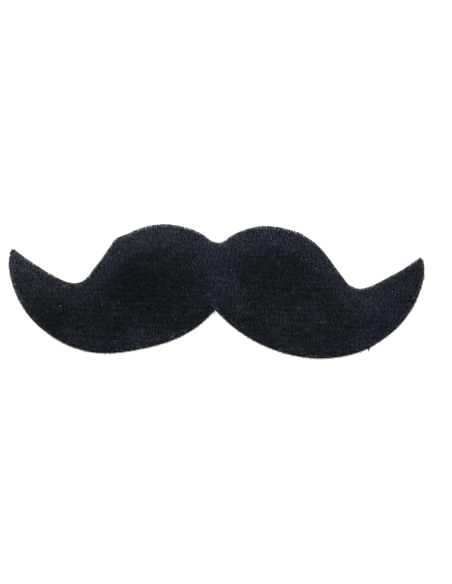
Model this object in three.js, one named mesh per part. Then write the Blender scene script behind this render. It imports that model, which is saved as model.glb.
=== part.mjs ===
// A self-adhesive fake moustache, die-cut in a handlebar outline from short-pile knitted plush.
// Millimetres, +Z up. It lies face up with its tips along X, the nose side towards +Y and the lip side
// towards -Y. The origin is on the flat underside, below the middle of the outline's box.
import * as THREE from 'three';

// Driving dimensions of the cut outline.
const span = 130;
const rise = 40;

// Layers, from the surface that it lies on upwards.
const backingThickness = 0.4;
const groundThickness = 0.6;
const pileHeight = 1.5;

// The nap leans towards the nose by so much for each millimetre of pile, so the pile reaches past its
// ground on the nose side and draws back on the lip side. Its top edge is rounded.
const napLean = 0.6;
const pileRounding = 0.6;

// The cut presses the pile down in the hollows of the nose side, and the backing looks out past it there.
const pressedNap = 0.35;
const backingLip = 0.5;

// The pile is a little lower in the middle of each lobe than along its edges.
const lobeDip = 0.25;

// Fineness of the mesh.
const stationsPerHalf = 52;
const rowsAcross = 8;
const roundingSteps = 3;

// The nose side from the nose notch to the wing tip: out in half spans, up in half rises, and left is the
// left half's own up where the cut differs there. hollow is 1 where the edge is a hollow that shows the
// backing.
const noseSide = [
  { out: 0.000, up: 0.736, hollow: 1.0 },
  { out: 0.029, up: 0.747, left: 0.759, hollow: 0.7 },
  { out: 0.058, up: 0.814, left: 0.830, hollow: 0.2 },
  { out: 0.115, up: 0.918, left: 0.915, hollow: 0.0 },
  { out: 0.187, up: 0.988, left: 0.980, hollow: 0.0 },
  { out: 0.260, up: 1.003, left: 0.997, hollow: 0.0 },
  { out: 0.331, up: 0.966, left: 0.961, hollow: 0.0 },
  { out: 0.392, up: 0.911, left: 0.895, hollow: 0.0 },
  { out: 0.446, up: 0.815, left: 0.811, hollow: 0.0 },
  { out: 0.487, up: 0.711, left: 0.752, hollow: 0.0 },
  { out: 0.519, up: 0.597, hollow: 0.0 },
  { out: 0.577, up: 0.351, left: 0.325, hollow: 0.0 },
  { out: 0.635, up: 0.128, left: 0.099, hollow: 0.4 },
  { out: 0.692, up: 0.064, left: 0.067, hollow: 1.0 },
  { out: 0.750, up: 0.112, hollow: 0.4 },
  { out: 0.837, up: 0.254, left: 0.247, hollow: 0.0 },
  { out: 0.923, up: 0.429, left: 0.425, hollow: 0.0 },
  { out: 0.983, up: 0.566, left: 0.570, hollow: 0.0 },
];

// The lip side from the lip notch to the wing tip. It ends at the nose side's last point.
const lipSide = [
  { out: 0.000, up: -0.284 },
  { out: 0.029, up: -0.380 },
  { out: 0.086, up: -0.547, left: -0.554 },
  { out: 0.173, up: -0.731 },
  { out: 0.260, up: -0.862, left: -0.843 },
  { out: 0.346, up: -0.951, left: -0.917 },
  { out: 0.431, up: -1.001, left: -0.975 },
  { out: 0.519, up: -1.012, left: -1.004 },
  { out: 0.606, up: -0.981, left: -0.986 },
  { out: 0.722, up: -0.866, left: -0.871 },
  { out: 0.837, up: -0.620, left: -0.635 },
  { out: 0.923, up: -0.321, left: -0.340 },
  { out: 0.981, up: 0.056, left: 0.047 },
  { out: 1.000, up: 0.360 },
  { out: 0.992, up: 0.530 },
];

// The dip of each lobe: its middle and its half sizes, in half spans and half rises.
const dip = { out: 0.34, up: 0.05, halfAcross: 0.26, halfUp: 0.62 };

// A table row as a point of the ground cloth's cut edge, with its hollow kept in z. side is 1 for the right
// half and -1 for the left half.
function edgePoint(row, side) {
  const up = side < 0 ? row.left ?? row.up : row.up;
  return new THREE.Vector3(side * row.out * span / 2, up * rise / 2, row.hollow ?? 0);
}

// Evenly spaced points along a smooth curve.
function spaced(points, count) {
  const curve = new THREE.CatmullRomCurve3(points, false, 'centripetal');
  curve.arcLengthDivisions = 20 * count;
  return curve.getSpacedPoints(count);
}

const bothHalves = (half) => [...half(-1).slice(1).reverse(), ...half(1)];

// From the left tip to the right tip, each station joins a point of the nose side to one of the lip side.
// The nose side is one smooth curve through both halves. The lip side has a corner in its notch.
const lastStation = 2 * stationsPerHalf;
const noseEdge = spaced(bothHalves((side) => noseSide.map((row) => edgePoint(row, side))), lastStation);
const lipRows = [...lipSide, noseSide.at(-1)];
const lipEdge = bothHalves((side) => spaced(lipRows.map((row) => edgePoint(row, side)), stationsPerHalf));

// A ring once round the outline at one height: the edge leans by lean, and draws in by inset.
function ring(height, lean, inset) {
  return noseEdge.map((nose, station) => {
    const lip = lipEdge[station];
    const across = lip.clone().sub(nose).setZ(0);
    const width = across.length();
    const draw = width > 0 ? Math.min(inset, width / 3) / width : 0;
    const reach = new THREE.Vector3(0, lean * (1 - pressedNap * nose.z), 0);
    return {
      nose: nose.clone().addScaledVector(across, draw).add(reach).setZ(height),
      lip: lip.clone().addScaledVector(across, -draw).add(reach).setZ(height),
    };
  });
}

// How far the top of the pile lies below its full height at a point.
function dipDepth(point) {
  const across = (Math.abs(point.x) / (span / 2) - dip.out) / dip.halfAcross;
  const up = (point.y / (rise / 2) - dip.up) / dip.halfUp;
  const near = Math.max(0, 1 - across * across - up * up);
  return lobeDip * near * near;
}

// A closed solid from rings stacked upwards, with a flat underside and a top of rowsAcross rows that
// follows topHeight.
function stackedSolid(rings, rows, topHeight) {
  const positions = [];
  const triangles = [];
  const addPoint = (point) => positions.push(point.x, point.y, point.z) / 3 - 1;
  const addTriangle = (a, b, c) => {
    if (a !== b && b !== c && c !== a) triangles.push(a, b, c);
  };
  const addQuad = (a, b, c, d) => {
    addTriangle(a, b, c);
    addTriangle(a, c, d);
  };

  // Each ring has one shared point at each tip.
  const ringPoints = rings.map((stations) => stations.map((pair, station) => {
    const nose = addPoint(pair.nose);
    const atTip = station === 0 || station === lastStation;
    return { nose, lip: atTip ? nose : addPoint(pair.lip) };
  }));

  // The wall between each ring and the next.
  for (let level = 1; level < rings.length; level += 1) {
    const low = ringPoints[level - 1];
    const high = ringPoints[level];
    for (let station = 0; station < lastStation; station += 1) {
      const next = station + 1;
      addQuad(low[next].nose, low[station].nose, high[station].nose, high[next].nose);
      addQuad(low[station].lip, low[next].lip, high[next].lip, high[station].lip);
    }
  }

  // The flat underside.
  const base = ringPoints[0];
  for (let station = 0; station < lastStation; station += 1) {
    const next = station + 1;
    addQuad(base[station].nose, base[next].nose, base[next].lip, base[station].lip);
  }

  // The top, in rows from the nose side to the lip side.
  const topRing = rings.at(-1);
  const topPoints = ringPoints.at(-1).map((pair, station) => {
    const atTip = station === 0 || station === lastStation;
    const column = [pair.nose];
    for (let row = 1; row < rows; row += 1) {
      const point = topRing[station].nose.clone().lerp(topRing[station].lip, row / rows);
      point.z = topHeight(point);
      column.push(atTip ? pair.nose : addPoint(point));
    }
    return [...column, pair.lip];
  });
  for (let station = 0; station < lastStation; station += 1) {
    const next = station + 1;
    for (let row = 0; row < rows; row += 1) {
      const here = topPoints[station];
      const there = topPoints[next];
      addQuad(here[row], here[row + 1], there[row + 1], there[row]);
    }
  }

  const geometry = new THREE.BufferGeometry();
  geometry.setAttribute('position', new THREE.Float32BufferAttribute(positions, 3));
  geometry.setIndex(triangles);
  geometry.computeVertexNormals();
  return geometry;
}

function namedMesh(name, geometry, look) {
  const mesh = new THREE.Mesh(geometry, new THREE.MeshStandardMaterial(look));
  mesh.name = name;
  return mesh;
}

// The adhesive sheet with its peel-off paper: flush with the cloth, with a lip in the hollows.
function adhesiveBacking() {
  const outline = (height) => ring(height, 0, 0).map((pair, station) => {
    const shown = new THREE.Vector3(0, backingLip * noseEdge[station].z, 0);
    return { nose: pair.nose.add(shown), lip: pair.lip };
  });
  const geometry = stackedSolid([outline(0), outline(backingThickness)], 1);
  return namedMesh('adhesive_backing', geometry, { color: '#e6e2d8', roughness: 0.6, metalness: 0 });
}

// The knitted ground with its pile: a cut edge, then the leaning pile with its top edge rounded.
function plushFabric() {
  const groundTop = backingThickness + groundThickness;
  const pileTop = groundTop + pileHeight;
  const rounding = Math.min(pileRounding, pileHeight);
  const rings = [ring(backingThickness, 0, 0), ring(groundTop, 0, 0)];
  for (let step = 0; step <= roundingSteps; step += 1) {
    const turn = step / roundingSteps * Math.PI / 2;
    const height = pileTop - rounding * (1 - Math.sin(turn));
    const lean = napLean * (height - groundTop);
    rings.push(ring(height, lean, rounding * (1 - Math.cos(turn))));
  }
  const geometry = stackedSolid(rings, rowsAcross, (point) => pileTop - dipDepth(point));
  return namedMesh('plush_fabric', geometry, { color: '#262a33', roughness: 0.95, metalness: 0 });
}

const group = new THREE.Group();
group.add(adhesiveBacking(), plushFabric());

// The pile reaches further to the nose than the cut edges do, and the halves differ a little, so the box is
// centred once both are made.
const middle = new THREE.Box3().setFromObject(group).getCenter(new THREE.Vector3());
group.children.forEach((mesh) => mesh.geometry.translate(-middle.x, -middle.y, 0));

export default group;
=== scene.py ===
# A self-adhesive costume moustache of short-pile plush. It lies face up on a white table and is seen from
# straight above. Everything is in metres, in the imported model's frame.
import math
import bmesh
import bpy
import numpy as np
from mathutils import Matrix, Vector
from mathutils.bvhtree import BVHTree


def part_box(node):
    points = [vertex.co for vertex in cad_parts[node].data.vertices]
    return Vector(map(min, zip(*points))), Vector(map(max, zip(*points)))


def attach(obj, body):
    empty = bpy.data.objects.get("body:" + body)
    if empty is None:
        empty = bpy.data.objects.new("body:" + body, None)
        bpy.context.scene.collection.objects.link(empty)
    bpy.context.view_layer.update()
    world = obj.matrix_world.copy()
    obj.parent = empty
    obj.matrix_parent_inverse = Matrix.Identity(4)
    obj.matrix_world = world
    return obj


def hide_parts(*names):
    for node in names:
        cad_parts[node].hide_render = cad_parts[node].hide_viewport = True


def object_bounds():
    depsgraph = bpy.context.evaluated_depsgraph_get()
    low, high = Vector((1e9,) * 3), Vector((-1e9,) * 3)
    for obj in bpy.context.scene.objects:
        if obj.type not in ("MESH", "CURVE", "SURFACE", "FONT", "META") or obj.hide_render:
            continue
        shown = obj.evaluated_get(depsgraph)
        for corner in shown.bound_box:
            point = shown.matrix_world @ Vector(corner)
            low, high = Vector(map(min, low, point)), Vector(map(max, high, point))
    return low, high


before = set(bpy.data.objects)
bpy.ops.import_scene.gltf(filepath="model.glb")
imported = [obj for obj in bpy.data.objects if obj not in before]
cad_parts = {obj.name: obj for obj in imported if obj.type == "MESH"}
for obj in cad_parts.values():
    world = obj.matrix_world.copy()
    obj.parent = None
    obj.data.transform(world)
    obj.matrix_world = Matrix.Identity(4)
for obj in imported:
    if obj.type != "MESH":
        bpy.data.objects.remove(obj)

mm = 0.001
cadLow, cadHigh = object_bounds()
clothLow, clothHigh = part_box("plush_fabric")
halfSpan = (clothHigh.x - clothLow.x) / 2
halfRise = (clothHigh.y - clothLow.y) / 2
print("frame loaded")

# how the photo shows it: 452 by 584 pixels, turned a little clockwise
photoView = {
    "width": 452,
    "height": 584,
    "middle": (216.0, 290.8),
    "pixel": 0.3125 * mm,
    "turn": 1.25,
    "lens": 100.0,
    "sensor": 36.0,
}


def deselectAll():
    if bpy.context.mode != "OBJECT":
        bpy.ops.object.mode_set(mode="OBJECT")
    bpy.ops.object.select_all(action="DESELECT")


def makeActive(piece):
    deselectAll()
    piece.select_set(True)
    bpy.context.view_layer.objects.active = piece


def selectFaces(piece, isWanted):
    makeActive(piece)
    bpy.ops.object.mode_set(mode="EDIT")
    bpy.ops.mesh.select_mode(type="FACE")
    bpy.ops.mesh.select_all(action="DESELECT")
    shape = bmesh.from_edit_mesh(piece.data)
    for face in shape.faces:
        face.select_set(isWanted(face))
    bmesh.update_edit_mesh(piece.data)


def toLinear(hexColour):
    levels = [int(hexColour[i:i + 2], 16) / 255 for i in (1, 3, 5)]
    return [c / 12.92 if c <= 0.04045 else ((c + 0.055) / 1.055) ** 2.4 for c in levels] + [1.0]


def addNode(tree, kind, settings=None, links=None):
    # settings are sockets' values or the node's own options, links are sockets and what feeds them
    node = tree.nodes.new(kind)
    for name, value in (settings or {}).items():
        if isinstance(name, int) or name in node.inputs:
            node.inputs[name].default_value = value
        else:
            setattr(node, name, value)
    for name, socket in (links or {}).items():
        tree.links.new(socket, node.inputs[name])
    return node


def newMaterial(name, settings):
    material = bpy.data.materials.new(name)
    material.use_nodes = True
    tree = material.node_tree
    tree.nodes.clear()
    shader = addNode(tree, "ShaderNodeBsdfPrincipled", settings)
    addNode(tree, "ShaderNodeOutputMaterial", links={"Surface": shader.outputs["BSDF"]})
    return material, tree, shader


def colourRamp(tree, factor, stops, interpolation="LINEAR"):
    ramp = addNode(tree, "ShaderNodeValToRGB", links={"Fac": factor})
    ramp.color_ramp.interpolation = interpolation
    elements = ramp.color_ramp.elements
    elements.remove(elements[1])
    elements[0].position = stops[0][0]
    elements[0].color = toLinear(stops[0][1])
    for place, hexColour in stops[1:]:
        elements.new(place).color = toLinear(hexColour)
    return ramp.outputs["Color"]


def multiplied(tree, first, second):
    mix = addNode(tree, "ShaderNodeMix", {"data_type": "RGBA", "blend_type": "MULTIPLY", 0: 1.0})
    tree.links.new(first, mix.inputs[6])
    tree.links.new(second, mix.inputs[7])
    return mix.outputs[2]


def computed(tree, operation, *values):
    # one step of arithmetic on sockets or numbers
    node = addNode(tree, "ShaderNodeMath", {"operation": operation})
    for place, value in enumerate(values):
        if isinstance(value, (int, float)):
            node.inputs[place].default_value = value
        else:
            tree.links.new(value, node.inputs[place])
    return node.outputs[0]


# Camera, floor and light
def lookFromAbove():
    view = photoView
    turn = math.radians(view["turn"])
    # the picture's middle, seen from the moustache's middle, in the camera's own right and up
    right = (view["width"] / 2 - view["middle"][0]) * view["pixel"]
    up = (view["middle"][1] - view["height"] / 2) * view["pixel"]
    x = right * math.cos(turn) - up * math.sin(turn)
    y = right * math.sin(turn) + up * math.cos(turn)
    distance = view["height"] * view["pixel"] * view["lens"] / view["sensor"]
    deselectAll()
    bpy.ops.object.camera_add(location=(x, y, cadHigh.z + distance), rotation=(0, 0, turn))
    camera = bpy.context.object
    camera.name = "photo_camera"
    camera.data.lens = view["lens"]
    camera.data.sensor_width = view["sensor"]
    camera.data.clip_start = 0.01
    bpy.context.scene.camera = camera


stage = {
    "floorSize": 3.0,
    "skyStrength": 1.25,
    "lamps": [
        {"name": "window_light", "place": (0.0, 0.55, 0.85), "size": 0.7, "power": 6.0},
        {"name": "fill_light", "place": (0.15, -0.8, 0.8), "size": 0.9, "power": 2.0},
    ],
}


def makeCardMaterial():
    # white coated card, pressed smooth: matt, with a faint cloudy grain, and bright enough to go white
    card, tree, shader = newMaterial("coated_white_card", {"Roughness": 0.9})
    place = addNode(tree, "ShaderNodeTexCoord").outputs["Object"]
    clouds = addNode(tree, "ShaderNodeTexNoise", {"Scale": 1 / (4 * mm), "Detail": 3.0}, {"Vector": place})
    colour = colourRamp(tree, clouds.outputs["Fac"], [(0.3, "#f4f4f2"), (0.7, "#f8f8f7")])
    tree.links.new(colour, shader.inputs["Base Color"])
    return card


def setStage():
    deselectAll()
    bpy.ops.mesh.primitive_plane_add(size=stage["floorSize"], location=(0, 0, 0))
    floor = bpy.context.object
    floor.name = "table_top"
    floor.data.materials.append(makeCardMaterial())
    world = bpy.data.worlds.new("studio")
    bpy.context.scene.world = world
    world.use_nodes = True
    background = world.node_tree.nodes["Background"]
    background.inputs["Color"].default_value = toLinear("#ffffff")
    background.inputs["Strength"].default_value = stage["skyStrength"]
    for lamp in stage["lamps"]:
        bpy.ops.object.light_add(type="AREA", location=lamp["place"])
        light = bpy.context.object
        light.name = lamp["name"]
        light.data.size = lamp["size"]
        light.data.energy = lamp["power"]
        light.rotation_euler = (-light.location).to_track_quat("-Z", "Y").to_euler()
    bpy.context.scene.view_settings.view_transform = "Standard"


lookFromAbove()
setStage()
print("camera, floor and light set")


# The cut outline
def mergedCopy(nodeName, pieceName):
    piece = bpy.data.objects.new(pieceName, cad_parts[nodeName].data.copy())
    piece.data.materials.clear()
    bpy.context.collection.objects.link(piece)
    makeActive(piece)
    bpy.ops.object.mode_set(mode="EDIT")
    bpy.ops.mesh.select_all(action="SELECT")
    bpy.ops.mesh.remove_doubles(threshold=0.001 * mm)
    bpy.ops.object.mode_set(mode="OBJECT")
    return piece


def cutOutline(piece):
    # the rim of the flat underside, anticlockwise from above
    shape = bmesh.new()
    shape.from_mesh(piece.data)
    shape.verts.ensure_lookup_table()
    beside = {}
    for edge in shape.edges:
        if sum(face.normal.z < -0.9 for face in edge.link_faces) == 1:
            first, second = edge.verts
            beside.setdefault(first.index, []).append(second.index)
            beside.setdefault(second.index, []).append(first.index)
    places = {index: tuple(shape.verts[index].co.xy) for index in beside}
    shape.free()
    start = min(beside)
    walk = [start, beside[start][0]]
    while walk[-1] != start:
        ways = beside[walk[-1]]
        walk.append(ways[0] if ways[0] != walk[-2] else ways[1])
    loop = np.array([places[index] for index in walk[:-1]])
    x, y = loop.T
    clockwise = np.sum(x * np.roll(y, -1) - y * np.roll(x, -1)) < 0
    return loop[::-1] if clockwise else loop


def cutLength(loop, share):
    # points at shares of the way round the outline, and which way is out there
    ends = np.roll(loop, -1, axis=0)
    runs = np.linalg.norm(ends - loop, axis=1)
    reached = np.concatenate([[0], np.cumsum(runs)])
    along = share * reached[-1]
    piece = np.clip(np.searchsorted(reached, along, side="right") - 1, 0, len(loop) - 1)
    part = ((along - reached[piece]) / runs[piece])[:, None]
    way = (ends - loop)[piece] / runs[piece][:, None]
    return loop[piece] * (1 - part) + ends[piece] * part, np.stack([way[:, 1], -way[:, 0]], axis=1)


def spacedCut(loop, pitch):
    total = np.sum(np.linalg.norm(np.roll(loop, -1, axis=0) - loop, axis=1))
    count = int(round(total / pitch))
    return cutLength(loop, np.arange(count) / count)


def isInside(points, loop):
    x, y = points.T
    inside = np.zeros(len(points), bool)
    for (x0, y0), (x1, y1) in zip(loop, np.roll(loop, -1, axis=0)):
        if y0 != y1:
            crosses = (y0 > y) != (y1 > y)
            inside ^= crosses & (x < x0 + (x1 - x0) * (y - y0) / (y1 - y0))
    return inside


noseFacing = 0.25  # the cut belongs to the nose side where it faces that way at least this much


def nearestCut(points, loop, noseSide):
    # how far each point is from the nose side or the lip side of the cut, and which way is out there
    gaps = np.full(len(points), np.inf)
    outward = np.zeros((len(points), 2))
    for here, there in zip(loop, np.roll(loop, -1, axis=0)):
        run = there - here
        out = np.array([run[1], -run[0]]) / np.linalg.norm(run)
        if (out[1] > noseFacing) != noseSide:
            continue
        share = np.clip((points - here) @ run / (run @ run), 0, 1)
        gap = np.linalg.norm(points - here - share[:, None] * run, axis=1)
        closer = gap < gaps
        gaps[closer] = gap[closer]
        outward[closer] = out
    return gaps, outward


def softNoise(points, width, seed):
    # smooth random hills between -1 and 1, about so wide
    random = np.random.default_rng(seed)
    cells = (points - points.min(axis=0)) / width
    corner = cells.astype(int)
    share = cells - corner
    share = share * share * (3 - 2 * share)
    table = random.uniform(-1, 1, corner.max(axis=0) + 2)
    i, j = corner.T
    low = table[i, j] * (1 - share[:, 0]) + table[i + 1, j] * share[:, 0]
    high = table[i, j + 1] * (1 - share[:, 0]) + table[i + 1, j + 1] * share[:, 0]
    return low * (1 - share[:, 1]) + high * share[:, 1]


# How light, blue and green the pile is from place to place: painted sheen and painted shade from how the
# brushed and pressed pile catches the light, with the sheen's blue in its lighter places and a mix of dye
# lots besides
nap = {
    "light": 0.408,
    # the nose side's band of painted sheen, where the pile rolls out over the cut and catches the light
    "noseSheenBand": {"lighter": 0.125, "bluer": 0.7, "full": 1.5 * mm, "none": 9.0 * mm, "smoother": 0.5},
    # painted light along the lip side's rim, where light gets in under the nap
    "lipLitRim": {"lighter": 0.25, "bluer": -1.2, "width": 0.85 * mm, "foot": 0.6, "outer": 0.4,
               "smoother": 0.45},
    "hills": {"lighter": 0.02, "bluer": 0.75, "greener": 0.9, "width": 2.6 * mm},
    "green": -1.2,
    # middle and half sizes in millimetres; where an area is lighter it is painted sheen, where it is darker
    # it is painted shade
    "areas": [
        {"name": "left lobe, painted shade", "at": (-23.7, -0.5), "half": (11.5, 9.5), "lighter": -0.155,
         "bluer": -0.7},
        {"name": "left lobe, nose side", "at": (-21.5, 15.5), "half": (15.0, 5.0), "lighter": 0.09,
         "bluer": 0.6, "greener": 0.8},
        {"name": "right lobe, nose side", "at": (16.0, 15.5), "half": (12.0, 4.5), "lighter": 0.07,
         "bluer": 0.4},
        {"name": "left lobe, inner part", "at": (-11.0, 5.0), "half": (6.0, 10.0), "lighter": -0.01,
         "bluer": -1.1},
        {"name": "right lobe, painted shade", "at": (17.4, 5.0), "half": (11.0, 7.5), "lighter": -0.055,
         "bluer": -0.4},
        {"name": "right lobe, inner part", "at": (8.0, -2.0), "half": (6.0, 9.0), "lighter": 0.035,
         "bluer": -0.9},
        {"name": "middle", "at": (0.5, 4.5), "half": (6.0, 10.0), "lighter": 0.085, "bluer": 1.6,
         "greener": -0.8, "smoother": 0.15},
        {"name": "nose notch", "at": (0.0, 14.0), "half": (6.0, 4.0), "lighter": -0.035},
        {"name": "left tip", "at": (-61.0, 4.0), "half": (7.0, 8.0), "lighter": 0.1, "bluer": 0.9,
         "greener": 1.2},
        {"name": "left wing, nose side", "at": (-50.0, 2.0), "half": (9.0, 4.0), "lighter": -0.03,
         "bluer": -1.7},
        {"name": "left slope", "at": (-34.0, 7.0), "half": (6.0, 6.5), "lighter": 0.05, "bluer": -0.6},
        {"name": "lip notch", "at": (-1.0, -8.5), "half": (9.0, 4.0), "lighter": -0.08},
        {"name": "left wing", "at": (-48.0, -9.0), "half": (12.0, 7.0), "lighter": -0.06, "bluer": -1.8},
        {"name": "right lobe, belly", "at": (30.0, -8.0), "half": (16.0, 8.0), "lighter": 0.03,
         "bluer": -0.5},
        {"name": "left lobe, lip side", "at": (-24.0, -17.0), "half": (17.0, 3.5), "lighter": 0.085,
         "bluer": 0.8},
        {"name": "right lobe, lip side", "at": (13.0, -15.0), "half": (6.0, 4.0), "lighter": -0.03,
         "bluer": -0.6},
        {"name": "right slope", "at": (36.0, 1.0), "half": (5.0, 7.0), "lighter": -0.035, "bluer": -0.5},
        {"name": "right wing", "at": (50.0, -4.0), "half": (9.0, 9.0), "lighter": 0.045, "bluer": 0.9,
         "smoother": 0.15},
        {"name": "right wing, lip side", "at": (45.0, -16.0), "half": (8.0, 4.0), "lighter": 0.06,
         "bluer": 0.8},
        {"name": "right tip", "at": (60.0, -1.0), "half": (6.0, 9.0), "bluer": -1.4},
        {"name": "middle strip", "at": (3.0, 0.0), "half": (19.0, 22.0), "greener": 3.4},
        {"name": "left lobe, outer part", "at": (-28.0, 4.0), "half": (7.0, 8.0), "greener": 2.2},
        {"name": "left hollow, rim", "at": (-45.0, 1.0), "half": (3.6, 0.8), "lighter": 0.19,
         "bluer": -0.2},
        {"name": "nose notch, rim", "at": (0.8, 15.0), "half": (3.0, 0.5), "lighter": 0.14, "bluer": -0.3},
        {"name": "left tip, outer side", "at": (-65.0, 9.0), "half": (0.9, 3.2), "lighter": -0.28},
        {"name": "right tip, outer side", "at": (65.0, 8.0), "half": (1.0, 3.0), "lighter": -0.26},
    ],
    "seed": 5,
}


def napSheenShadeAndHue(points, loop):
    # the pile's painted sheen and painted shade at each point, with its hue and how much grain it shows
    band = nap["noseSheenBand"]
    gap = nearestCut(points, loop, True)[0]
    share = np.clip((band["none"] - gap) / (band["none"] - band["full"]), 0, 1)
    share = share * share * (3 - 2 * share)
    hills = nap["hills"]
    rim = nap["lipLitRim"]
    lipGap, lipOut = nearestCut(points, loop, False)
    edge = np.exp(-(lipGap / rim["width"]) ** 2)
    edge *= 1 + rim["outer"] * np.clip(np.sign(points[:, 0]) * lipOut[:, 0], 0, 1)
    light = nap["light"] + band["lighter"] * share + rim["lighter"] * edge
    light += hills["lighter"] * softNoise(points, hills["width"], nap["seed"])
    blue = band["bluer"] * share + rim["bluer"] * edge
    blue += hills["bluer"] * softNoise(points, hills["width"], nap["seed"] + 1)
    green = nap["green"] + hills["greener"] * softNoise(points, hills["width"], nap["seed"] + 2)
    rough = (1 - band["smoother"] * share) * (1 - rim["smoother"] * edge)
    for area in nap["areas"]:
        away = (points / mm - np.array(area["at"])) / np.array(area["half"])
        near = np.exp(-np.sum(away ** 2, axis=1))
        light += area.get("lighter", 0) * near
        blue += area.get("bluer", 0) * near
        green += area.get("greener", 0) * near
        rough -= area.get("smoother", 0) * near
    return light, blue, green, rough


# Small shapes are modelled once, and all others are their copies in joined meshes
straight = 1.0  # the bend of a copy that doesn't bend over


def shapeOf(piece):
    corners = np.array([vertex.co[:] for vertex in piece.data.vertices])
    faces = [list(face.vertices) for face in piece.data.polygons]
    bpy.data.objects.remove(piece)
    return corners, faces


def modelStrand(waist, tip=0.0):
    # a three-sided cone one unit high and one unit in radius, with a waist at half its height
    deselectAll()
    bpy.ops.mesh.primitive_cone_add(vertices=3, radius1=1, radius2=tip, depth=1, location=(0, 0, 0.5))
    strand = bpy.context.object
    bpy.ops.object.mode_set(mode="EDIT")
    bpy.ops.mesh.select_all(action="SELECT")
    bpy.ops.mesh.bisect(plane_co=(0, 0, 0.5), plane_no=(0, 0, 1))
    girth = waist / (0.5 + tip / 2)
    bpy.ops.transform.resize(value=(girth, girth, 1))
    bpy.ops.object.mode_set(mode="OBJECT")
    bpy.ops.object.transform_apply(location=True, rotation=False, scale=False)
    return shapeOf(strand)


def modelYarnEnd():
    # a six-sided stub one unit long and one unit in radius, with its end drawn in round
    deselectAll()
    bpy.ops.mesh.primitive_cylinder_add(vertices=6, radius=1, depth=1, location=(0, 0, 0.5))
    stub = bpy.context.object
    bpy.ops.object.transform_apply(location=True, rotation=False, scale=False)
    selectFaces(stub, lambda face: face.normal.z > 0.9)
    bpy.ops.mesh.inset(thickness=0.3)
    bpy.ops.transform.translate(value=(0, 0, 0.25))
    bpy.ops.object.mode_set(mode="OBJECT")
    return shapeOf(stub)


def joinCopies(name, shape, roots, across, beside, along, bend, look):
    # each copy stands on its root: its x, y and z run across, beside and along, and it bends over sideways
    corners, faces = shape
    tone, tint, foot = look
    count, size = len(roots), len(corners)
    rise = np.clip(corners[:, 2], 0, 1)
    height = foot[:, None] + (1 - foot[:, None]) * rise[None]
    curve = np.stack([corners[:, 2] * rise ** (bend - 1)] * 2 + [corners[:, 2]], axis=1)
    places = roots[:, None] + across[:, None] * corners[None, :, :1] + beside[:, None] * corners[None, :, 1:2]
    places += along[:, None] * curve[None]
    corner = np.concatenate(faces)
    loops = (np.arange(count)[:, None] * size + corner[None, :]).ravel()
    first = np.cumsum([0] + [len(face) for face in faces[:-1]])
    starts = (np.arange(count)[:, None] * len(corner) + first[None, :]).ravel()
    mesh = bpy.data.meshes.new(name)
    mesh.vertices.add(count * size)
    mesh.vertices.foreach_set("co", places.ravel())
    mesh.loops.add(len(loops))
    mesh.loops.foreach_set("vertex_index", loops.astype(np.int32))
    mesh.polygons.add(len(starts))
    mesh.polygons.foreach_set("loop_start", starts.astype(np.int32))
    mesh.update(calc_edges=True)
    tone = np.clip(tone, 0, 1)
    for label, values in (("fibreTone", np.repeat(tone, size)), ("fibreTint", np.repeat(tint, size)),
                          ("alongFibre", height.ravel())):
        mesh.attributes.new(label, "FLOAT", "POINT").data.foreach_set("value", values.astype(np.float32))
    # the export's map: a sixth for each tint, tone across it and root to tip upwards, each copy a narrow band
    band = np.linspace(-1, 1, size)
    u = (tint[:, None] + 0.02 + 0.96 * tone[:, None] + 0.004 * band[None, :]) / 6
    v = 0.015 + 0.97 * height + 0.004 * np.roll(band, size // 2)[None, :]
    layout = mesh.uv_layers.new(name="OFBake")
    layout.uv.foreach_set("vector", np.stack([u.ravel(), v.ravel()], axis=1)[loops].ravel())
    piece = bpy.data.objects.new(name, mesh)
    bpy.context.collection.objects.link(piece)
    makeActive(piece)
    bpy.ops.object.shade_smooth()
    return piece


def standOn(piece):
    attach(piece, "root")
    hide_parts("plush_fabric")


# Polyester pile, dyed blue-black and cut: fine soft fibres that show nearly no gloss
def makePileMaterial():
    material, tree, shader = newMaterial("dyed_polyester_cut_pile", {
        "Roughness": 0.8,
        "IOR": 1.5,
        "Specular IOR Level": 0.03,
    })
    tone = addNode(tree, "ShaderNodeAttribute", {"attribute_name": "fibreTone"}).outputs["Fac"]
    tint = addNode(tree, "ShaderNodeAttribute", {"attribute_name": "fibreTint"}).outputs["Fac"]
    along = addNode(tree, "ShaderNodeAttribute", {"attribute_name": "alongFibre"}).outputs["Fac"]
    # from the deepest dye to pale split tips and lint
    colour = colourRamp(tree, tone, [
        (0.0, "#050607"),
        (0.2, "#171d20"),
        (0.3, "#232a30"),
        (0.45, "#353d4a"),
        (0.6, "#4b525d"),
        (1.0, "#b7bbbf"),
    ])
    # the yarn is spun from dull, plain and blue dye lots, each in a warm and a green shade
    # where the pile is painted with sheen, more of its fibres take the blue lot, so that lot also paints the
    # sheen's blue
    lots = colourRamp(tree, computed(tree, "MULTIPLY", tint, 1 / 6), [
        (0.0, "#efe6e1"),
        (0.5 / 6, "#e3ebe2"),
        (1.5 / 6, "#e9e6e6"),
        (2.5 / 6, "#e3e8e7"),
        (3.5 / 6, "#e2dff3"),
        (4.5 / 6, "#dce4f1"),
    ], "CONSTANT")
    # each fibre is darker at its root, where little light gets in
    depth = addNode(tree, "ShaderNodeMapRange", {
        "From Min": 0.0,
        "From Max": 1.0,
        "To Min": 0.4,
        "To Max": 1.0,
    }, {"Value": along})
    dyed = multiplied(tree, colour, lots)
    tree.links.new(multiplied(tree, dyed, depth.outputs["Result"]), shader.inputs["Base Color"])
    return material


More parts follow.
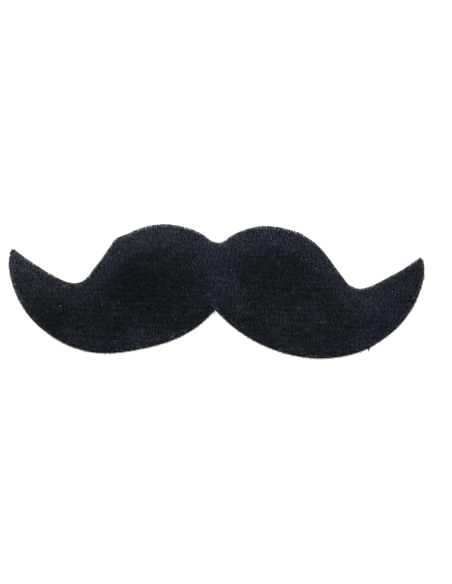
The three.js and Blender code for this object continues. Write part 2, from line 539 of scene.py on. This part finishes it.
pile = {
    # the cut wales at the nose side are 0.85 mm apart, and each loop of a wale is cut into two tufts
    "walePitch": 0.85 * mm,
    "tuftPitch": 0.425 * mm,
    "rowPitch": 0.545 * mm,
    "rowsPerCourse": 3,
    "fibresPerTuft": 5,
    "tuftHalf": (0.12 * mm, 0.2 * mm),
    "fibreRadius": 0.062 * mm,  # about three real fibres thick, so that it shows
    "waist": 0.85,
    "lean": (-0.07, 0.6),  # sideways for each unit of height: towards the nose, and a little left
    "bend": 1.4,
    "tuftStray": 0.12,
    "fibreStray": 0.10,
    "combWidth": 7 * mm,
    "combStray": 0.13,
    "groundTop": 1.0 * mm,
    "rooted": 0.1 * mm,  # how deep the fibres stand in the ground
    "shortest": 0.9 * mm,  # where the top edge is rounded off
    "heights": (0.86, 1.03),  # shares of the pile's height
    "girths": (0.8, 1.25),  # shares of the fibres' radius
    "seenAt": 0.6,  # the share of a tuft's lean at which its light and hue are read
    "waleStreak": {"strength": 0.022, "reach": 1},  # how many tufts each way
    "courseStreak": {"strength": 0.042, "reach": 3},
    "tuftGrain": 0.032,
    "fibreGrain": 0.057,
    "courseDip": 0.09,
    "regions": [
        ("pile_left_wing", -1.1, -0.6),
        ("pile_left_lobe", -0.6, -0.2),
        ("pile_middle", -0.2, 0.2),
        ("pile_right_lobe", 0.2, 0.6),
        ("pile_right_wing", 0.6, 1.1),
    ],
    "seed": 11,
}

# The nose side frays: each cut wale ends in a tooth, and the pile beside it clumps on the tooth
fray = {
    "clumpWidth": 1.3 * mm,  # how far in from the cut the pile clumps
    "clump": 0.9,
    "strandsPerTooth": 24,
    "toothHalf": 0.14 * mm,
    "fan": 0.24,  # how far the outer strands of a tooth turn out, which closes the gaps on the cut line
    "radius": 0.07 * mm,
    "darker": 0.13,
    "past": 0.2 * mm,  # how far the teeth reach past the solid, and how far short of it the pile stays
    "short": 0.12 * mm,
    "evenness": (0.95, 1.03),  # how near the tips come to the line that the die cut
    "waver": {"share": 0.12, "width": 2.2 * mm},  # and how the line itself wavers
    # strands in the gaps between the teeth are painted paler, painted light for the brightness that shows
    # through the gaps
    "gaps": {"share": 0.4, "half": 0.12 * mm, "shorter": 0.9, "paler": 0.27},
    "paintedRimLight": {"lighter": 0.55, "width": 0.62 * mm},  # the pile between the teeth is painted paler near the cut, painted light that lifts the shade there
    "meanBetween": 0.33,  # how far the pile further in counts as being between them
    "outward": 0.6,  # the teeth point out of the cut by this share, and along the nap by the rest
    "stray": 0.06,
    "longest": 1.8 * mm,
    "inset": 0.25 * mm,
    "rootHeight": (1.0 * mm, 1.5 * mm),
    "climb": (0.4 * mm, 1.0 * mm),
    "girths": (0.7, 1.3),
    "waist": 0.95,
    "tip": 0.6,
    "toothGrain": 0.05,
    "strandGrain": 0.04,
    "dye": {"blueShare": 0.2, "duller": 0.3, "greener": 0.6},
    "foot": 0.85,
    # in the left hollow the cut pressed the nap back
    "pressed": {"at": -45.0, "half": 4.5, "shorter": 0.4},
    # the pile leans out over the cut
    "splay": {"share": 0.4, "noseWidth": 1.0 * mm, "lipWidth": 0.6 * mm},
    "seed": 23,
}


# Dull, plain and blue dye lots, and how much they are mixed from fibre to fibre
dyeLots = {
    "plain": 2,
    "blueShare": 0.8,
    "blueSpread": 0.35,
    "greenSpread": 0.5,
}


def tintOf(blue, green, random):
    # which dye lot each fibre is from; the bluer or greener the place, the more of its fibres are
    count = len(blue)
    step = np.round(blue * dyeLots["blueShare"] + random.normal(0, dyeLots["blueSpread"], count))
    isGreen = green + random.normal(0, dyeLots["greenSpread"], count) > 0
    return 2 * (np.clip(step, -1, 1) + 1) + isGreen


def tuftPlaces(loop):
    columns = int(halfSpan / pile["tuftPitch"]) + 1
    rows = int(halfRise / pile["rowPitch"]) + 1
    column, row = np.meshgrid(np.arange(2 * columns + 1), np.arange(2 * rows + 1), indexing="ij")
    tufts = np.stack([
        (column.ravel() - columns + 0.5) * pile["tuftPitch"],
        (row.ravel() - rows) * pile["rowPitch"],
    ], axis=1)
    inside = isInside(tufts, loop)
    return tufts[inside], column.ravel()[inside], row.ravel()[inside]


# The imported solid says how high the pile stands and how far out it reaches
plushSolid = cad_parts["plush_fabric"].data
plushFaces = BVHTree.FromPolygons([vertex.co for vertex in plushSolid.vertices],
                                  [face.vertices for face in plushSolid.polygons])


def solidTop(x, y):
    return plushFaces.ray_cast(Vector((x, y, clothHigh.z + 1 * mm)), Vector((0, 0, -1)))[0]


def pileTopAt(points):
    # the height of the solid's top, or the short pile's at its rounded edge
    short = pile["groundTop"] + pile["shortest"]
    tops = [solidTop(x, y) for x, y in points]
    return np.array([max(place.z, short) if place else short for place in tops])


def trimmedReach(starts, reach, margin):
    # the die cut the pile on one smooth line, so no tip passes the solid's outline less the margin
    kept = np.ones(len(starts))
    for index, (start, way) in enumerate(zip(starts, reach)):
        ahead = start + way * margin / np.linalg.norm(way)
        if solidTop(*(ahead + way)):
            continue
        near, far = 0.0, 1.0
        for halving in range(7):  # to within a hundredth of the reach
            middle = (near + far) / 2
            if solidTop(*(ahead + middle * way)):
                near = middle
            else:
                far = middle
        kept[index] = near
    pressed = fray["pressed"]
    hollow = np.exp(-((starts[:, 0] / mm - pressed["at"]) / pressed["half"]) ** 2)
    return reach * (kept * (1 - pressed["shorter"] * hollow))[:, None]


def tuftTone(column, row, random):
    # streaks a few tufts long down the wales and along the courses, and a darker row in every course
    tone = pile["tuftGrain"] * random.normal(0, 1, len(column))
    for axis, streak in ((0, pile["courseStreak"]), (1, pile["waleStreak"])):
        reach = streak["reach"]
        table = random.normal(0, 1, (column.max() + 1, row.max() + 1))
        steps = range(-reach, reach + 1)
        table = sum((reach + 1 - abs(step)) * np.roll(table, step, axis=axis) for step in steps)
        tone += streak["strength"] * table[column, row] / table.std()
    course = np.where(row % pile["rowsPerCourse"] == 0, -1.0, 0.5)
    return tone + pile["courseDip"] * course / 2


def clumpedReach(roots, reach, teeth, ways):
    # near the nose side, tips are pulled sideways onto the nearest tooth, the less the further off they are
    tips = roots[:, :2] + reach
    nearest = np.empty(len(tips), int)
    for start in range(0, len(tips), 4000):
        part = tips[start:start + 4000]
        nearest[start:start + 4000] = np.argmin(np.linalg.norm(part[:, None] - teeth[None], axis=2), axis=1)
    sideways = np.stack([ways[nearest][:, 1], -ways[nearest][:, 0]], axis=1)
    off = np.sum((tips - teeth[nearest]) * sideways, axis=1)
    between = np.clip(2 * abs(off) / pile["walePitch"], 0, 1) ** 2
    return reach - fray["clump"] * ((1 - between) * off)[:, None] * sideways, between


def growPile(loop, material):
    random = np.random.default_rng(pile["seed"])
    tufts, column, row = tuftPlaces(loop)
    lean = np.tile(pile["lean"], (len(tufts), 1)) + random.normal(0, pile["tuftStray"], (len(tufts), 2))
    for axis in (0, 1):
        lean[:, axis] += pile["combStray"] * softNoise(tufts, pile["combWidth"], pile["seed"] + axis)
    noseGap, noseOut = nearestCut(tufts, loop, True)
    lipGap, lipOut = nearestCut(tufts, loop, False)
    splay = fray["splay"]
    lean += splay["share"] * np.clip(1 - noseGap / splay["noseWidth"], 0, 1)[:, None] * noseOut
    lean += splay["share"] * np.clip(1 - lipGap / splay["lipWidth"], 0, 1)[:, None] * lipOut
    fullHeight = clothHigh.z - pile["groundTop"]
    tops = pileTopAt(tufts + lean * fullHeight)
    light, blue, green, rough = napSheenShadeAndHue(tufts + pile["seenAt"] * lean * fullHeight, loop)
    light += rough * tuftTone(column, row, random)
    copies = pile["fibresPerTuft"]
    each = np.repeat(np.arange(len(tufts)), copies)
    count = len(each)
    spread = np.sqrt(random.uniform(0, 1, count))
    angle = random.uniform(0, 2 * math.pi, count)
    offsets = np.stack([np.cos(angle), np.sin(angle)], axis=1) * spread[:, None] * np.array(pile["tuftHalf"])
    roots = np.column_stack([tufts[each] + offsets, np.full(count, pile["groundTop"] - pile["rooted"])])
    height = (tops[each] - pile["groundTop"]) * random.uniform(*pile["heights"], count) + pile["rooted"]
    reach = (lean[each] + random.normal(0, pile["fibreStray"], (count, 2))) * height[:, None]
    teeth, ways = spacedCut(loop, pile["walePitch"])
    nearEdge = noseGap[each] < fray["clumpWidth"]
    between = np.full(count, fray["meanBetween"])
    reach[nearEdge], between[nearEdge] = clumpedReach(roots[nearEdge], reach[nearEdge], teeth, ways)
    reach[nearEdge] = trimmedReach(roots[nearEdge, :2], reach[nearEdge], fray["short"])
    radius = (pile["fibreRadius"] * random.uniform(*pile["girths"], count))[:, None]
    twist = random.uniform(0, 2 * math.pi, count)
    flat = np.zeros(count)
    across = radius * np.stack([np.cos(twist), np.sin(twist), flat], axis=1)
    beside = radius * np.stack([-np.sin(twist), np.cos(twist), flat], axis=1)
    along = np.column_stack([reach, height])
    tone = light[each] + rough[each] * random.normal(0, pile["fibreGrain"], count)
    # painted light on the pile between the teeth, near the nose side's cut
    tone += fray["paintedRimLight"]["lighter"] * between * np.exp(-noseGap[each] / fray["paintedRimLight"]["width"])
    tint = tintOf(blue[each], green[each], random)
    # the nap shows its feet at the lip side, where light gets in
    foot = nap["lipLitRim"]["foot"] * np.exp(-(lipGap[each] / nap["lipLitRim"]["width"]) ** 2)
    strand = modelStrand(pile["waist"])
    pieces = []
    for name, start, end in pile["regions"]:
        here = (roots[:, 0] >= start * halfSpan) & (roots[:, 0] < end * halfSpan)
        piece = joinCopies(name, strand, roots[here], across[here], beside[here], along[here], pile["bend"],
                           (tone[here], tint[here], foot[here]))
        piece.data.materials.append(material)
        standOn(piece)
        pieces.append(piece)
    print("pile grown:", count, "fibres")
    return pieces


def crossAxes(along, radius):
    # two directions square to each strand, as long as its radius
    level = np.stack([-along[:, 1], along[:, 0], np.zeros(len(along))], axis=1)
    level /= np.linalg.norm(level, axis=1)[:, None]
    upright = np.cross(along, level)
    upright /= np.linalg.norm(upright, axis=1)[:, None]
    return level * radius[:, None], upright * radius[:, None]


def frayEdge(loop, material):
    random = np.random.default_rng(fray["seed"])
    teeth, ways = spacedCut(loop, pile["walePitch"])
    onNose = ways[:, 1] > noseFacing
    teeth, ways = teeth[onNose], ways[onNose]
    copies = fray["strandsPerTooth"]
    each = np.repeat(np.arange(len(teeth)), copies)
    count = len(each)
    sideways = np.stack([ways[:, 1], -ways[:, 0]], axis=1)[each]
    gaps = fray["gaps"]
    between = random.uniform(0, 1, count) < gaps["share"]
    side = random.uniform(-1, 1, count)
    off = np.where(between, pile["walePitch"] / 2 + side * gaps["half"], side * fray["toothHalf"])
    starts = teeth[each] + sideways * off[:, None]
    alongNap = np.array(pile["lean"]) / np.linalg.norm(pile["lean"])
    forward = ways * fray["outward"] + alongNap * (1 - fray["outward"])
    forward = forward[each] + random.normal(0, fray["stray"], (count, 2))
    forward += np.where(between, 0.0, fray["fan"] * side)[:, None] * sideways
    reach = trimmedReach(starts, forward * fray["longest"], -fray["past"])
    reach *= random.uniform(*fray["evenness"], count)[:, None]
    reach *= np.where(between, gaps["shorter"], 1.0)[:, None]
    waver = fray["waver"]
    reach *= 1 + waver["share"] * softNoise(teeth, waver["width"], fray["seed"])[each][:, None]
    inset = ways[each] * random.uniform(0, fray["inset"], count)[:, None]
    roots = np.column_stack([starts - inset, random.uniform(*fray["rootHeight"], count)])
    along = np.column_stack([reach + inset, random.uniform(*fray["climb"], count)])
    across, beside = crossAxes(along, fray["radius"] * random.uniform(*fray["girths"], count))
    light, blue, green, _ = napSheenShadeAndHue(teeth, loop)
    toothTone = light + random.normal(-fray["darker"], fray["toothGrain"], len(teeth))
    tone = toothTone[each] + random.normal(0, fray["strandGrain"], count)
    # painted light: the strands in the gaps are paler
    tone += np.where(between, gaps["paler"], 0.0)
    dye = fray["dye"]
    tint = tintOf(blue[each] * dye["blueShare"] - dye["duller"], green[each] + dye["greener"], random)
    strand = modelStrand(fray["waist"], fray["tip"])
    piece = joinCopies("frayed_nose_edge", strand, roots, across, beside, along, straight,
                       (tone, tint, np.full(count, fray["foot"])))
    piece.data.materials.append(material)
    standOn(piece)
    print("nose side frayed:", len(teeth), "teeth")
    return piece


# The cut ends of the ground's yarns, two for each wale, all round the cut
yarnEnds = {
    "pitch": 0.425 * mm,
    "radius": 0.13 * mm,
    "length": 0.4 * mm,
    "rise": (0.55 * mm, 0.85 * mm),
    "buried": 0.5,  # the share of the length that is inside the cut
    "stray": 0.03 * mm,
    "turn": 0.15,
    "slope": 0.04 * mm,
    "girths": (0.85, 1.15),
    "light": 0.40,
    "grain": 0.05,
    "foot": 0.7,
    "seed": 31,
}

# Pale specks of lint on the pile, where the photo shows them
lint = {
    "seen": [
        (55.0, 1.0), (55.8, 0.3), (60.4, 1.4), (62.0, -0.5), (51.9, 2.5), (-10.3, 0.8), (-9.6, -4.1),
        (-12.0, 18.2), (18.0, 19.2), (19.1, 19.3), (20.7, 18.7), (35.8, 14.4), (39.5, -12.7), (22.0, -9.2),
        (17.1, -4.2), (-36.8, -17.9), (-48.7, -5.7), (-30.6, 11.1), (31.1, 7.8), (27.9, 10.2), (45.7, -1.9),
        (-56.6, -0.7), (-35.5, -4.9), (48.5, -3.1), (13.0, -7.9), (-12.3, -9.4),
    ],
    "length": (0.2 * mm, 0.45 * mm),
    "radius": 0.075 * mm,
    "sunk": 0.05 * mm,
    "slope": 0.1,
    "waist": 0.9,
    "tip": 0.5,
    "light": (0.66, 1.0),
    "foot": 0.9,
    "seed": 41,
}

# Tufts that hang out of the cut: place in millimetres, which way they point in degrees, and their length
looseThreads = {
    "tufts": [
        (64.7, 5.3, -15, 0.6), (63.6, 2.5, -20, 0.8), (62.6, -1.6, -35, 0.7), (61.9, -3.2, -40, 0.5),
        (60.5, -5.1, -45, 0.7), (57.4, -8.5, -55, 0.5), (64.3, 11.0, 70, 0.7), (63.5, 11.2, 100, 0.5),
        (62.6, 10.6, 115, 0.5), (61.7, 10.1, 120, 0.4), (64.9, 8.0, 10, 0.5), (64.2, 3.9, -10, 0.5),
        (64.9, 6.6, 0, 0.5), (63.2, 0.9, -25, 0.45), (64.7, 9.3, 20, 0.4), (62.2, -2.3, -35, 0.4),
        (64.2, 8.0, 0, 0.7), (64.0, 6.6, -5, 0.8), (64.1, 9.2, 10, 0.6), (64.0, 5.0, -10, 0.8),
        (48.3, -17.0, -70, 0.8), (48.0, -17.0, -65, 0.7), (-64.3, 9.0, 165, 0.5), (-63.6, 11.1, 88, 0.5),
        (-63.2, 10.9, 88, 0.35), (-62.8, 10.6, 60, 0.35),
    ],
    "threads": 7,
    "spread": 0.22 * mm,
    "radius": 0.07 * mm,
    "height": (0.7 * mm, 1.2 * mm),
    "buried": 0.3,  # millimetres of each that are inside the cut
    "turn": 14,
    "lengths": (0.6, 1.1),
    "slope": 0.3 * mm,
    "waist": 0.95,
    "tip": 0.6,
    "light": 0.42,
    "grain": 0.08,
    "foot": 0.7,
    "seed": 43,
}


def cutYarnEnds(loop, material):
    random = np.random.default_rng(yarnEnds["seed"])
    places, ways = spacedCut(loop, yarnEnds["pitch"])
    count = len(places)
    starts = places - ways * yarnEnds["length"] * yarnEnds["buried"]
    starts += random.normal(0, yarnEnds["stray"], (count, 2))
    level = np.where(np.arange(count) % 2 == 0, yarnEnds["rise"][0], yarnEnds["rise"][1])
    roots = np.column_stack([starts, level + random.normal(0, yarnEnds["stray"], count)])
    way = ways + random.normal(0, yarnEnds["turn"], (count, 2))
    along = np.column_stack([way * yarnEnds["length"], random.normal(0, yarnEnds["slope"], count)])
    across, beside = crossAxes(along, yarnEnds["radius"] * random.uniform(*yarnEnds["girths"], count))
    tone = yarnEnds["light"] + random.normal(0, yarnEnds["grain"], count)
    piece = joinCopies("cut_yarn_ends", modelYarnEnd(), roots, across, beside, along, straight,
                       (tone, np.full(count, dyeLots["plain"]), np.full(count, yarnEnds["foot"])))
    piece.data.materials.append(material)
    standOn(piece)
    return piece


def scatterLint(material):
    random = np.random.default_rng(lint["seed"])
    places = np.array(lint["seen"]) * mm
    count = len(places)
    roots = np.column_stack([places, pileTopAt(places) - lint["sunk"]])
    angle = random.uniform(0, 2 * math.pi, count)
    length = random.uniform(*lint["length"], count)
    way = np.stack([np.cos(angle), np.sin(angle), np.full(count, lint["slope"])], axis=1)
    along = way * length[:, None]
    across, beside = crossAxes(along, np.full(count, lint["radius"]))
    tone = random.uniform(*lint["light"], count)
    strand = modelStrand(lint["waist"], lint["tip"])
    piece = joinCopies("lint_specks", strand, roots, across, beside, along, straight,
                       (tone, np.full(count, dyeLots["plain"]), np.full(count, lint["foot"])))
    piece.data.materials.append(material)
    standOn(piece)
    return piece


def hangThreads(material):
    random = np.random.default_rng(looseThreads["seed"])
    x, y, angle, length = np.repeat(looseThreads["tufts"], looseThreads["threads"], axis=0).T
    count = len(x)
    angle = angle + random.normal(0, looseThreads["turn"], count)
    length = length * random.uniform(*looseThreads["lengths"], count)
    way = np.stack([np.cos(np.radians(angle)), np.sin(np.radians(angle))], axis=1)
    starts = np.stack([x, y], axis=1) * mm - way * looseThreads["buried"] * mm
    starts += random.normal(0, looseThreads["spread"], (count, 2))
    roots = np.column_stack([starts, random.uniform(*looseThreads["height"], count)])
    run = way * (length[:, None] + looseThreads["buried"]) * mm
    slope = looseThreads["slope"]
    along = np.column_stack([run, random.uniform(-slope, slope, count)])
    across, beside = crossAxes(along, np.full(count, looseThreads["radius"]))
    tone = looseThreads["light"] + random.normal(0, looseThreads["grain"], count)
    strand = modelStrand(looseThreads["waist"], looseThreads["tip"])
    piece = joinCopies("loose_threads", strand, roots, across, beside, along, straight,
                       (tone, np.full(count, dyeLots["plain"]), np.full(count, looseThreads["foot"])))
    piece.data.materials.append(material)
    standOn(piece)
    print("lint and loose threads laid")
    return piece


# The ground cloth with the dense foot of its pile: knitted stitches 0.85 mm wide, in courses of 0.545 mm
def makeKnitMaterial():
    material, tree, shader = newMaterial("knitted_polyester_ground", {
        "Roughness": 0.9,
        "IOR": 1.5,
        "Specular IOR Level": 0.05,
    })
    place = addNode(tree, "ShaderNodeSeparateXYZ",
                    links={"Vector": addNode(tree, "ShaderNodeTexCoord").outputs["Object"]})
    # each stitch is a V: its two legs climb from the middle of the wale
    wale = computed(tree, "FRACT", computed(tree, "DIVIDE", place.outputs["X"], pile["walePitch"]))
    leg = computed(tree, "ABSOLUTE", computed(tree, "SUBTRACT", wale, 0.5))
    climb = computed(tree, "SUBTRACT", computed(tree, "DIVIDE", place.outputs["Y"], pile["rowPitch"]), leg)
    stitch = computed(tree, "PINGPONG", climb, 0.5)
    ridge = computed(tree, "MULTIPLY", stitch, computed(tree, "MULTIPLY_ADD", leg, 1.5, 0.6))
    # the stitches' grooves are darker: painted shade where the legs dip
    colour = colourRamp(tree, ridge, [(0.0, "#040506"), (0.35, "#0b0c0e"), (0.7, "#131518")])
    tree.links.new(colour, shader.inputs["Base Color"])
    bump = addNode(tree, "ShaderNodeBump", {"Strength": 0.6, "Distance": 0.15 * mm}, {"Height": ridge})
    tree.links.new(bump.outputs["Normal"], shader.inputs["Normal"])
    return material


knit = {
    "footShare": 0.4,  # how much of the pile's height is dense
}


def layGround(material):
    cloth = mergedCopy("plush_fabric", "knitted_cloth")
    loop = cutOutline(cloth)
    for vertex in cloth.data.vertices:
        above = vertex.co.z - pile["groundTop"]
        if above > 0:
            vertex.co.y -= pile["lean"][1] * above * (1 - knit["footShare"] / 2)
            vertex.co.z = pile["groundTop"] + above * knit["footShare"]
    cloth.data.materials.append(material)
    standOn(cloth)
    return cloth, loop


pileMaterial = makePileMaterial()
cloth, outline = layGround(makeKnitMaterial())
plushPieces = growPile(outline, pileMaterial)
plushPieces.append(frayEdge(outline, pileMaterial))
plushPieces.append(cutYarnEnds(outline, pileMaterial))
plushPieces.append(scatterLint(pileMaterial))
plushPieces.append(hangThreads(pileMaterial))


# The peel-off paper of the adhesive sheet: smooth, coated and off-white, with a faint cloudy grain
def dressBacking():
    paper, tree, shader = newMaterial("siliconised_release_paper", {
        "Roughness": 0.45,
        "IOR": 1.5,
    })
    place = addNode(tree, "ShaderNodeTexCoord").outputs["Object"]
    clouds = addNode(tree, "ShaderNodeTexNoise", {"Scale": 1 / (2.5 * mm), "Detail": 3.0, "Roughness": 0.6},
                     {"Vector": place})
    # paper fibres are 0.03 mm wide and are drawn at 0.2 mm, so that they show
    fibres = addNode(tree, "ShaderNodeTexNoise", {"Scale": 1 / (0.2 * mm), "Detail": 2.0}, {"Vector": place})
    mottle = computed(tree, "MULTIPLY_ADD", fibres.outputs["Fac"], 0.4,
                      computed(tree, "MULTIPLY", clouds.outputs["Fac"], 0.6))
    colour = colourRamp(tree, mottle, [(0.3, "#d9d3c4"), (0.5, "#e6e1d5"), (0.7, "#efebe1")])
    tree.links.new(colour, shader.inputs["Base Color"])
    bump = addNode(tree, "ShaderNodeBump", {"Strength": 0.3, "Distance": 0.02 * mm},
                   {"Height": fibres.outputs["Fac"]})
    tree.links.new(bump.outputs["Normal"], shader.inputs["Normal"])
    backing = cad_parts["adhesive_backing"]
    backing.data.materials.clear()
    backing.data.materials.append(paper)


dressBacking()
print("backing dressed")
